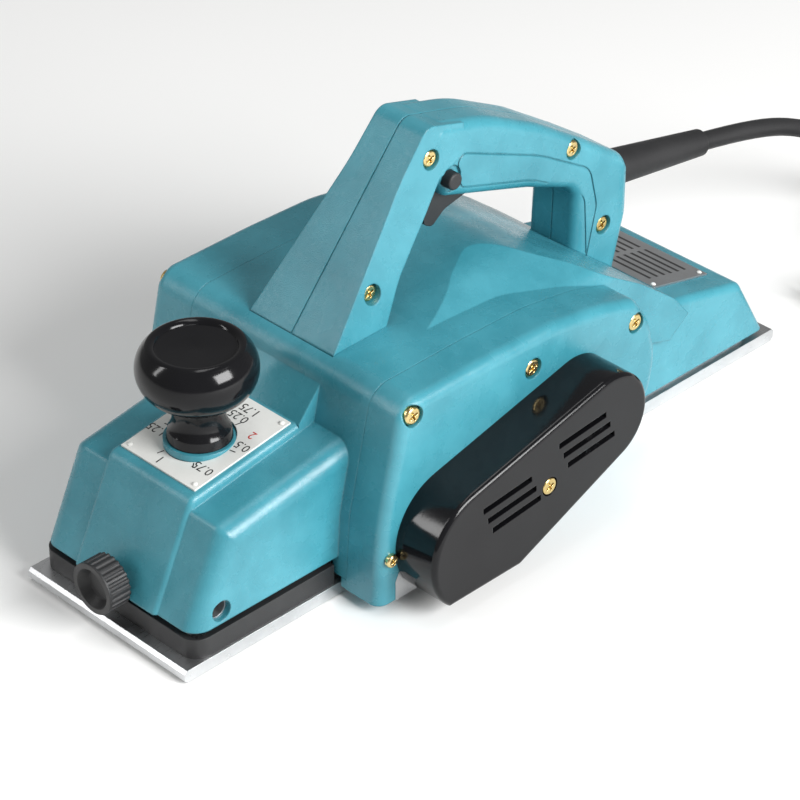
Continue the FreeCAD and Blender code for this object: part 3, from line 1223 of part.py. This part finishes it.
# ================================================================ export
def all_parts():
    parts = {
        "front_base": front_base(),
        "front_skirt": front_skirt(),
        "rear_base": rear_base(),
        "rear_base_screws": rear_base_screws(),
        "main_frame": main_frame(),
        "motor_bracket": motor_bracket(),
        "motor_bracket_screws": motor_bracket_screws(),
        "main_housing": main_housing(),
        "left_cover": left_cover(),
        "cover_screws": cover_screws(),
        "motor_housing": motor_housing(),
        "belt_cover": belt_cover(),
        "drive_belt": drive_belt(),
        "drum_pulley": pulley(DRUM_Y, DRUM_Z, DRUM_PULLEY_R, DRUM_SHAFT_R),
        "motor_pulley": pulley(MOTOR_Y, MOTOR_Z, MOTOR_PULLEY_R, SHAFT_R),
        "drum_pulley_nut": pulley_nut(DRUM_Y, DRUM_Z, NUT_BORE),
        "motor_pulley_nut": pulley_nut(MOTOR_Y, MOTOR_Z, NUT_BORE),
        "chip_duct": chip_duct(),
        "cutter_drum": cutter_drum(),
        "planer_blades": planer_blades(),
        "blade_clamps": blade_clamps(),
        "blade_bolts": blade_bolts(),
        "drum_bearings": Part.makeCompound([
            bearing(DRUM_Y, DRUM_Z, x, DRUM_BEARING_W, DRUM_BEARING_R, DRUM_SHAFT_R + RUN)
            for x in (-CASE_HALF, CASE_HALF - DRUM_BEARING_W)]),
        "motor_shaft": motor_shaft(),
        "armature_core": armature_core(),
        "armature_windings": armature_windings(),
        "commutator": commutator(),
        "cooling_fan": cooling_fan(),
        "fan_baffle": fan_baffle(),
        "field_stator": field_stator(),
        "field_coils": field_coils(),
        "brush_holders": brush_holders(),
        "carbon_brushes": carbon_brushes(),
        "motor_bearing_left": bearing(MOTOR_Y, MOTOR_Z, 56.0, MOTOR_BEARING_W, MOTOR_BEARING_R, SHAFT_R + RUN),
        "motor_bearing_right": bearing(MOTOR_Y, MOTOR_Z, BEARING_RIGHT_X, 7.0, 11.0, 4.0 + RUN),
        "depth_knob": depth_knob(),
        "depth_spindle": depth_spindle(),
        "knob_seat": knob_seat(),
        "scale_plate": scale_plate(),
        "nameplate": nameplate(),
        "plate_rivets": plate_rivets(),
        "guide_rod_block": guide_rod_block(),
        "thumb_screw": thumb_screw(),
        "thumb_stud": thumb_stud(),
        "handle_left_half": handle_half(1),
        "handle_right_half": handle_half(-1),
        "handle_screws": handle_screws(),
        "trigger": trigger(),
        "trigger_pin": trigger_pin(),
        "switch_body": switch_body(),
        "lock_button": lock_button(),
        "capacitor": capacitor(),
        "cord_clamp": cord_clamp(),
        "cord_guard": cord_guard(),
        "power_cord": power_cord(),
        "cord_coil": cord_coil(),
        "cord_tail": cord_tail(),
        "plug_body": plug_body(),
        "plug_pins": plug_pins(),
    }
    return parts


def main():
    os.makedirs("parts", exist_ok=True)
    for name, shape in all_parts().items():
        solids = len(shape.Solids)
        print("%-22s solids %2d volume %10.1f valid %s" % (name, solids, shape.Volume, shape.isValid()))
        shape.exportStep("parts/%s.step" % name)


main()
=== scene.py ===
import json
import math

import bpy
from mathutils import Matrix, Vector


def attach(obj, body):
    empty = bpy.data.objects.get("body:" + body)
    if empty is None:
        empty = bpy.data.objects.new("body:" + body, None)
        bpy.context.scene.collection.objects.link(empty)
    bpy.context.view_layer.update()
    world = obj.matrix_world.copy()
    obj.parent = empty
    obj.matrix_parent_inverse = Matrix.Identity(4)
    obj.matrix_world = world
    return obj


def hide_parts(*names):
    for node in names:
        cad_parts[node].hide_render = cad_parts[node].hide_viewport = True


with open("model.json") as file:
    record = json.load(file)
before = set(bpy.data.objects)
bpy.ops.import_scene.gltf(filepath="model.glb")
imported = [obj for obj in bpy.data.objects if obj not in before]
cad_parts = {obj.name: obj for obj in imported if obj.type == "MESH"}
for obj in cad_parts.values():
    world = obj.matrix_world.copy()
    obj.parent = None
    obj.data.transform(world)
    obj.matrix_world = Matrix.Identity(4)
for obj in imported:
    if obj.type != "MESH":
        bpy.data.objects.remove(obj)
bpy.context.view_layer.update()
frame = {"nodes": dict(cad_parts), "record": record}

nodes = frame["nodes"]

# All lengths are in metres, unless a comment says otherwise. The tool planes towards -Y.


# ---------------------------------------------------------------- camera and room
LENS_MM = 147.1
SENSOR_MM = 36.0
NEAR = 0.05
FAR = 20.0
EYE = (0.8185, -0.8196, 0.8009)
LOOK_AT = (-0.00875, -0.00379, 0.025)

FLOOR_SIZE = 12.0
FLOOR_DROP = 0.0005          # how far the floor lies under the sole
PAPER = (0.93, 0.93, 0.92, 1)
PAPER_ROUGH = 0.85
SKY = (1.0, 1.0, 1.0, 1)
SKY_STRENGTH = 0.27
# each light's place, the point it faces, its two sides, and its power in watts
LIGHTS = {
    "softbox_key": ((1.50, 0.20, 0.92), (0, 0, 0.05), (0.9, 0.8), 47.0),
    "softbox_top": ((-0.1, 0.1, 1.5), (0, 0, 0.05), (0.25, 1.1), 3.5),
    "strip_front": ((-0.75, -1.15, 0.85), (0, 0, 0.08), (0.16, 0.9), 5.0),
}


def stand(thing, place, target):
    """Puts the camera or a lamp at a place, facing a target."""
    bpy.context.scene.collection.objects.link(thing)
    thing.location = place
    thing.rotation_euler = (Vector(target) - Vector(place)).to_track_quat("-Z", "Y").to_euler()


def camera():
    data = bpy.data.cameras.new("camera")
    data.lens = LENS_MM
    data.sensor_width = SENSOR_MM
    data.clip_start = NEAR
    data.clip_end = FAR
    eye = bpy.data.objects.new("camera", data)
    stand(eye, EYE, LOOK_AT)
    bpy.context.scene.camera = eye


def light(name, place, target, size, power):
    data = bpy.data.lights.new(name, "AREA")
    data.shape = "RECTANGLE"
    data.size, data.size_y = size
    data.energy = power
    stand(bpy.data.objects.new(name, data), place, target)


def room():
    bpy.ops.mesh.primitive_plane_add(size=FLOOR_SIZE, location=(0, 0, -FLOOR_DROP))
    floor = bpy.context.active_object
    floor.name = "floor"
    material = bpy.data.materials.new("floor_paper")
    material.use_nodes = True
    shader = material.node_tree.nodes["Principled BSDF"]
    shader.inputs["Base Color"].default_value = PAPER
    shader.inputs["Roughness"].default_value = PAPER_ROUGH
    floor.data.materials.append(material)
    world = bpy.data.worlds.new("studio")
    world.use_nodes = True
    background = world.node_tree.nodes["Background"]
    background.inputs["Color"].default_value = SKY
    background.inputs["Strength"].default_value = SKY_STRENGTH
    bpy.context.scene.world = world
    for name, setting in LIGHTS.items():
        light(name, *setting)
    bpy.context.scene.view_settings.view_transform = "Standard"


# ---------------------------------------------------------------- finishes
# noise fields: scale, detail, roughness, and the low and high end of the band that is used
COLOUR_DRIFT = (22.0, 6.0, 0.62, 0.34, 0.66)
RUBBED_PATCHES = (55.0, 6.0, 0.70, 0.62, 0.78)
GLOSS_DRIFT = (90.0, 5.0, 0.50, 0.30, 0.75)
STAINS = (30.0, 5.0, 0.65, 0.35, 0.70)

RUBBED_GAIN = 1.15           # rubbed plastic is paler: its colour times this, plus the lift
RUBBED_LIFT = 0.02
GLOSS_LOW = 0.85             # shares of a moulding's roughness
GLOSS_HIGH = 1.2
GRAIN_DETAIL = 2.0
GRAIN_HEIGHT = 0.0002

MARKS_DETAIL = 4.0
MARKS_BAND = (0.3, 0.7)
MARKS_LOW = 0.75             # shares of a metal's roughness
MARKS_HIGH = 1.25
MARKS_HEIGHT = 0.0001
METAL_EDGE = 0.0004
EDGE_SAMPLES = 4


def finish_nodes(name):
    material = bpy.data.materials.new(name)
    material.use_nodes = True
    tree = material.node_tree
    shader = tree.nodes["Principled BSDF"]
    coords = tree.nodes.new("ShaderNodeTexCoord")
    return material, tree, shader, coords.outputs["Object"]


def noise(tree, vector, scale, detail, rough=0.5):
    node = tree.nodes.new("ShaderNodeTexNoise")
    node.inputs["Scale"].default_value = scale
    node.inputs["Detail"].default_value = detail
    node.inputs["Roughness"].default_value = rough
    tree.links.new(vector, node.inputs["Vector"])
    return node.outputs["Fac"]


def between(tree, fac, low, high, start, end):
    """Spreads the band from low to high of a value over start to end."""
    node = tree.nodes.new("ShaderNodeMapRange")
    node.inputs["From Min"].default_value = low
    node.inputs["From Max"].default_value = high
    node.inputs["To Min"].default_value = start
    node.inputs["To Max"].default_value = end
    tree.links.new(fac, node.inputs["Value"])
    return node.outputs["Result"]


def field(tree, place, kind, start=0.0, end=1.0):
    """One of the noise fields above, spread over start to end."""
    scale, detail, rough, low, high = kind
    return between(tree, noise(tree, place, scale, detail, rough), low, high, start, end)


def mix_colour(tree, fac, a, b):
    """Mixes two colours, each given as three numbers or as another node's output."""
    node = tree.nodes.new("ShaderNodeMix")
    node.data_type = "RGBA"
    tree.links.new(fac, node.inputs["Factor"])
    for socket, value in ((node.inputs[6], a), (node.inputs[7], b)):
        if hasattr(value, "is_output"):
            tree.links.new(value, socket)
        else:
            socket.default_value = (*value, 1)
    return node.outputs[2]


def bump(tree, height, strength, distance, normal):
    node = tree.nodes.new("ShaderNodeBump")
    node.inputs["Strength"].default_value = strength
    node.inputs["Distance"].default_value = distance
    tree.links.new(height, node.inputs["Height"])
    tree.links.new(normal, node.inputs["Normal"])
    return node.outputs["Normal"]


def soft_edges(tree, radius):
    node = tree.nodes.new("ShaderNodeBevel")
    node.samples = EDGE_SAMPLES
    node.inputs["Radius"].default_value = radius
    return node.outputs["Normal"]


def moulding(name, colour, dark, rough, grain, depth, edge=0.0006, shine=0.5, scuffs=0.5):
    """Moulded plastic: fine grain, slight colour drift, rubbed patches."""
    material, tree, shader, place = finish_nodes(name)
    base = mix_colour(tree, field(tree, place, COLOUR_DRIFT), dark, colour)
    pale = tuple(min(1.0, c * RUBBED_GAIN + RUBBED_LIFT) for c in colour)
    rubbed = field(tree, place, RUBBED_PATCHES, 0.0, scuffs)
    tree.links.new(mix_colour(tree, rubbed, base, pale), shader.inputs["Base Color"])
    gloss = field(tree, place, GLOSS_DRIFT, rough * GLOSS_LOW, rough * GLOSS_HIGH)
    tree.links.new(gloss, shader.inputs["Roughness"])
    fine = noise(tree, place, grain, GRAIN_DETAIL)
    normal = bump(tree, fine, depth, GRAIN_HEIGHT, soft_edges(tree, edge))
    tree.links.new(normal, shader.inputs["Normal"])
    shader.inputs["Specular IOR Level"].default_value = shine
    return material


def metal(name, colour, dark, rough, grain, depth, stretch=(1, 1, 1)):
    """Bare metal with tool marks along its stretch and a little staining."""
    material, tree, shader, place = finish_nodes(name)
    mapping = tree.nodes.new("ShaderNodeMapping")
    mapping.inputs["Scale"].default_value = stretch
    tree.links.new(place, mapping.inputs["Vector"])
    marks = noise(tree, mapping.outputs["Vector"], grain, MARKS_DETAIL)
    stain = field(tree, place, STAINS)
    tree.links.new(mix_colour(tree, stain, dark, colour), shader.inputs["Base Color"])
    gloss = between(tree, marks, *MARKS_BAND, rough * MARKS_LOW, rough * MARKS_HIGH)
    tree.links.new(gloss, shader.inputs["Roughness"])
    normal = bump(tree, marks, depth, MARKS_HEIGHT, soft_edges(tree, METAL_EDGE))
    tree.links.new(normal, shader.inputs["Normal"])
    shader.inputs["Metallic"].default_value = 1.0
    return material


TEAL = (0.062, 0.300, 0.372)
TEAL_DARK = (0.030, 0.205, 0.262)
BLACK = (0.007, 0.007, 0.008)
BLACK_DARK = (0.004, 0.004, 0.005)

FINISHES = {
    "teal_shell": moulding("teal_nylon", TEAL, TEAL_DARK, rough=0.27, grain=2300.0, depth=0.50,
                           edge=0.0010, shine=0.6, scuffs=0.25),
    "black_gloss": moulding("black_gloss_moulding", BLACK, BLACK_DARK, rough=0.12, grain=900.0, depth=0.03,
                            edge=0.0005, shine=0.28, scuffs=0.03),
    "black_plastic": moulding("black_fine_grain", (0.022, 0.022, 0.023), (0.014, 0.014, 0.015),
                              rough=0.45, grain=3000.0, depth=0.4),
    "cast_base": metal("machined_casting", (0.74, 0.75, 0.76), (0.60, 0.61, 0.62),
                       rough=0.34, grain=500.0, depth=0.25, stretch=(6, 0.25, 1)),
    "cast_frame": metal("rough_casting", (0.66, 0.67, 0.68), (0.50, 0.51, 0.52),
                        rough=0.45, grain=900.0, depth=0.6),
    "steel": metal("ground_steel", (0.60, 0.61, 0.62), (0.45, 0.45, 0.46),
                   rough=0.28, grain=700.0, depth=0.2, stretch=(0.2, 4, 4)),
    "core_steel": metal("stacked_sheet_steel", (0.26, 0.27, 0.29), (0.14, 0.14, 0.15),
                        rough=0.5, grain=1500.0, depth=0.6, stretch=(8, 0.1, 0.1)),
    "copper": metal("enamelled_copper", (0.72, 0.30, 0.14), (0.45, 0.16, 0.07),
                    rough=0.35, grain=1500.0, depth=0.8, stretch=(0.3, 6, 6)),
    "brass_screws": metal("yellow_plated_steel", (0.86, 0.70, 0.36), (0.62, 0.46, 0.18),
                          rough=0.24, grain=1200.0, depth=0.3),
    "fan_plastic": moulding("pale_fan_moulding", (0.72, 0.70, 0.64), (0.62, 0.60, 0.55),
                            rough=0.5, grain=2500.0, depth=0.3),
    "carbon": moulding("pressed_carbon", (0.05, 0.05, 0.05), (0.03, 0.03, 0.03),
                       rough=0.6, grain=4000.0, depth=0.5),
    "plate": moulding("printed_plate", (0.78, 0.78, 0.75), (0.66, 0.67, 0.64),
                      rough=0.42, grain=1400.0, depth=0.25, edge=0.0003, shine=0.5, scuffs=0.2),
    "nameplate": metal("etched_plate", (0.62, 0.63, 0.64), (0.48, 0.49, 0.50),
                       rough=0.42, grain=900.0, depth=0.2, stretch=(0.3, 5, 1)),
    "print_black": moulding("black_print", (0.012, 0.012, 0.012), (0.02, 0.02, 0.02),
                            rough=0.5, grain=1400.0, depth=0.1, edge=0.0001),
    "print_red": moulding("red_print", (0.55, 0.03, 0.02), (0.42, 0.02, 0.02),
                          rough=0.5, grain=1400.0, depth=0.1, edge=0.0001),
    "rubber": moulding("matt_rubber", (0.016, 0.016, 0.017), (0.010, 0.010, 0.011),
                       rough=0.55, grain=2800.0, depth=0.5),
}


def dress_nodes():
    slots = {row["node"]: row["material_slot"] for row in frame["record"]["subparts"]}
    for name, node in nodes.items():
        material = FINISHES["nameplate" if name == "nameplate" else slots[name]]
        if not node.data.materials:
            node.data.materials.append(material)
        for slot in node.material_slots:
            slot.material = material


# ---------------------------------------------------------------- print on the plates
PRINT_THICK = 0.00004
PRINT_BREAK = 0.000008       # bevel on a printed bar's edges


def on_slope(front, slope, x, along, up):
    """A place over a sloping plate: across it, along it from its front edge, and up from its underside."""
    return front + Vector((x,
                           along * math.cos(slope) - up * math.sin(slope),
                           along * math.sin(slope) + up * math.cos(slope)))


def printed_bar(place, turn, length, width):
    bpy.ops.object.select_all(action="DESELECT")
    bpy.ops.mesh.primitive_cube_add(size=1.0)
    bar = bpy.context.active_object
    size = Matrix.Diagonal((length, width, PRINT_THICK, 1))
    bar.matrix_world = Matrix.Translation(place) @ turn @ size
    bpy.ops.object.transform_apply(location=True, rotation=True, scale=True)
    bpy.ops.object.mode_set(mode="EDIT")
    bpy.ops.mesh.select_all(action="SELECT")
    bpy.ops.mesh.bevel(offset=PRINT_BREAK, segments=1)
    bpy.ops.object.mode_set(mode="OBJECT")
    return bar


def join(pieces):
    bpy.ops.object.select_all(action="DESELECT")
    for piece in pieces:
        piece.select_set(True)
    bpy.context.view_layer.objects.active = pieces[0]
    bpy.ops.object.join()
    return bpy.context.active_object


def settle(piece, name, material):
    """Gives a piece of print its name, finish, body and slot."""
    piece.name = name
    piece.data.materials.clear()
    piece.data.materials.append(material)
    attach(piece, "housing")


# ---------------------------------------------------------------- depth scale
KNOB_Y = -0.124
SCALE_FRONT = Vector((0, -0.1465, 0.0635))
SCALE_SLOPE = math.radians(8.3)
SCALE_THICK = 0.0008
SCALE_PRINT_UP = 0.00003     # middle of the print, over the plate's face
SEAT_R = 0.0148

NUMBERS = 8
NUMBERS_A_TURN = 6
STEP_DEPTH_MM = 0.25
STEP_ANGLE = 60.0            # degrees of knob for one step of depth
FIRST_ANGLE = 82.0
FIRST_TURN_RING = 0.0190     # radius that the first turn's numbers stand on
NEXT_TURN_RING = 0.0246
LAST_RING = 0.0212
LAST_SHIFT = 20.0            # degrees that keep the last number clear of its neighbours

NUMBER_HIGH = 0.0042
SIZE_PER_HEIGHT = 1.42       # text size over the height of its digits
NUMBER_HALF_THICK = 0.00001
NUMBER_CURVE_STEPS = 2

TICK_BACK = 13.0             # degrees from a number to its tick
TICK_INNER = SEAT_R + 0.0005
TICK_OUTER = SEAT_R + 0.0034
TICK_WIDE = 0.0005


def on_scale(x, along):
    """A place on the scale's face, measured across and along the slope from the knob's axis."""
    axis_along = (KNOB_Y - SCALE_FRONT.y) / math.cos(SCALE_SLOPE)
    return on_slope(SCALE_FRONT, SCALE_SLOPE, x, axis_along + along, SCALE_THICK + SCALE_PRINT_UP)


def number(text, x, along):
    """A printed number that reads from behind the tool."""
    bpy.ops.object.select_all(action="DESELECT")
    bpy.ops.object.text_add()
    label = bpy.context.active_object
    label.data.body = text
    label.data.size = NUMBER_HIGH * SIZE_PER_HEIGHT
    label.data.align_x = "CENTER"
    label.data.align_y = "CENTER"
    label.data.extrude = NUMBER_HALF_THICK
    label.data.resolution_u = NUMBER_CURVE_STEPS
    bpy.ops.object.convert(target="MESH")
    label = bpy.context.active_object
    turn = Matrix.Rotation(SCALE_SLOPE, 4, "X") @ Matrix.Rotation(math.pi, 4, "Z")
    label.matrix_world = Matrix.Translation(on_scale(x, along)) @ turn
    bpy.ops.object.transform_apply(location=True, rotation=True, scale=True)
    return label


def tick(angle):
    """A short bar that points out from the knob's seat."""
    middle = (TICK_INNER + TICK_OUTER) / 2
    place = on_scale(middle * math.cos(angle), middle * math.sin(angle))
    turn = Matrix.Rotation(SCALE_SLOPE, 4, "X") @ Matrix.Rotation(angle, 4, "Z")
    return printed_bar(place, turn, TICK_OUTER - TICK_INNER, TICK_WIDE)


def depth_scale():
    """Numbers every quarter millimetre over one and a third turns of the knob, the last one in red."""
    black = []
    for index in range(NUMBERS):
        angle = math.radians(FIRST_ANGLE - STEP_ANGLE * index)
        radius = FIRST_TURN_RING if index < NUMBERS_A_TURN else NEXT_TURN_RING
        if index == NUMBERS - 1:
            angle += math.radians(LAST_SHIFT)
            radius = LAST_RING
        text = f"{STEP_DEPTH_MM * (index + 1):g}"
        black.append(number(text, radius * math.cos(angle), radius * math.sin(angle)))
        if index < NUMBERS_A_TURN:
            black.append(tick(angle - math.radians(TICK_BACK)))
    last = black.pop()
    settle(join(black), "scale_numbers", FINISHES["print_black"])
    settle(last, "scale_last_number", FINISHES["print_red"])


# ---------------------------------------------------------------- nameplate
NAMEPLATE_FRONT = Vector((0, 0.109, 0.050415))
NAMEPLATE_SLOPE = math.atan(-0.235)
NAMEPLATE_THICK = 0.001
NAMEPLATE_PRINT_UP = 0.00002     # middle of the print, over the plate's face
BAR_ROWS = 6
FIRST_BAR = 0.0065
BAR_PITCH = 0.0048
BAR_WIDE = 0.0016
# each column of bars: its middle across the plate, and its bars' length
BAR_COLUMNS = ((-0.0145, 0.028), (0.0145, 0.024))


def nameplate_bars():
    """Plain printed bars that stand for the nameplate's rows of print."""
    turn = Matrix.Rotation(NAMEPLATE_SLOPE, 4, "X")
    up = NAMEPLATE_THICK + NAMEPLATE_PRINT_UP
    bars = []
    for row in range(BAR_ROWS):
        for x, length in BAR_COLUMNS:
            place = on_slope(NAMEPLATE_FRONT, NAMEPLATE_SLOPE, x, FIRST_BAR + row * BAR_PITCH, up)
            bars.append(printed_bar(place, turn, length, BAR_WIDE))
    settle(join(bars), "nameplate_bars", FINISHES["print_black"])


# ---------------------------------------------------------------- cord
MM = 0.001
CORD_D = 0.0085
GUARD_START = Vector((0, 0.116, 0.0946))
GUARD_DIP = math.radians(10.3)
GUARD_DIRECTION = Vector((0, math.cos(GUARD_DIP), -math.sin(GUARD_DIP)))
GUARD_LENGTH = 0.060
STRAIGHT_RUN = 0.036         # how far past its guard the cord stays in line with it
GUARD_END = GUARD_START + GUARD_DIRECTION * GUARD_LENGTH
# the points and turns below are in millimetres
ROUTE = ((1.5, 245, 66.0), (4, 273, 48), (8, 297, 26.5), (14, 318, 11), (26, 338, 4.8),
         (42, 356, 4.45), (64, 364, 4.4))
TAIL = ((143.5, 291, 4.4), (145.5, 271.5, 4.4), (140, 252.5, 4.6), (127.5, 237.5, 5.6),
        (110.5, 228.5, 8.05), (91, 226.5, 8.05))
COIL = (78.0, 303.0)
# radius and height of each turn of the coil, in the order they are wound
TURNS = ((52.8, 4.4), (44.4, 4.5), (36.4, 4.6), (36.9, 12.9),
         (45.0, 12.7), (40.6, 20.8), (49.3, 20.9), (53.3, 12.6))
POINTS_PER_TURN = 14
POINTS_LEFT_OFF = 3          # from the end of the last turn
COIL_START = math.radians(80.0)
EASE_FROM = 0.7              # share of a turn after which it moves over to the next one
EASE_SHARE = 0.3

CURVE_ORDER = 3
STEPS_PER_POINT = 6
ROUND_STEPS = 4


def coil_points():
    """The coil's turns, wound clockwise seen from above, from its far side to its -X side.

    The tail starts on the +X side. So the cord runs straight across the coil and through some of
    its turns. That is a known fault, and the coil has to be wound again to mend it.
    """
    points = []
    for step in range(len(TURNS) * POINTS_PER_TURN - POINTS_LEFT_OFF):
        turn, part = divmod(step, POINTS_PER_TURN)
        radius, height = TURNS[turn]
        if turn + 1 < len(TURNS):
            ease = max(0.0, (part / POINTS_PER_TURN - EASE_FROM) / EASE_SHARE)
            radius += (TURNS[turn + 1][0] - radius) * ease
            height += (TURNS[turn + 1][1] - height) * ease
        angle = COIL_START - 2 * math.pi * step / POINTS_PER_TURN
        points.append((COIL[0] + radius * math.cos(angle), COIL[1] + radius * math.sin(angle), height))
    return points


def power_cord():
    first = GUARD_END + GUARD_DIRECTION * STRAIGHT_RUN
    points = [tuple(GUARD_END), tuple(first)]
    for place in (*ROUTE, *coil_points(), *TAIL):
        points.append(tuple(c * MM for c in place))
    data = bpy.data.curves.new("power_cord_line", "CURVE")
    data.dimensions = "3D"
    spline = data.splines.new("NURBS")
    spline.points.add(len(points) - 1)
    for point, place in zip(spline.points, points):
        point.co = (*place, 1)
    spline.order_u = CURVE_ORDER
    spline.use_endpoint_u = True
    spline.resolution_u = STEPS_PER_POINT
    data.bevel_depth = CORD_D / 2
    data.bevel_resolution = ROUND_STEPS
    data.use_fill_caps = True
    cord = bpy.data.objects.new("mains_cord", data)
    bpy.context.scene.collection.objects.link(cord)
    data.materials.append(FINISHES["rubber"])
    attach(cord, "housing")
    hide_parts("power_cord", "cord_coil", "cord_tail")


camera()
room()
dress_nodes()
depth_scale()
nameplate_bars()
power_cord()
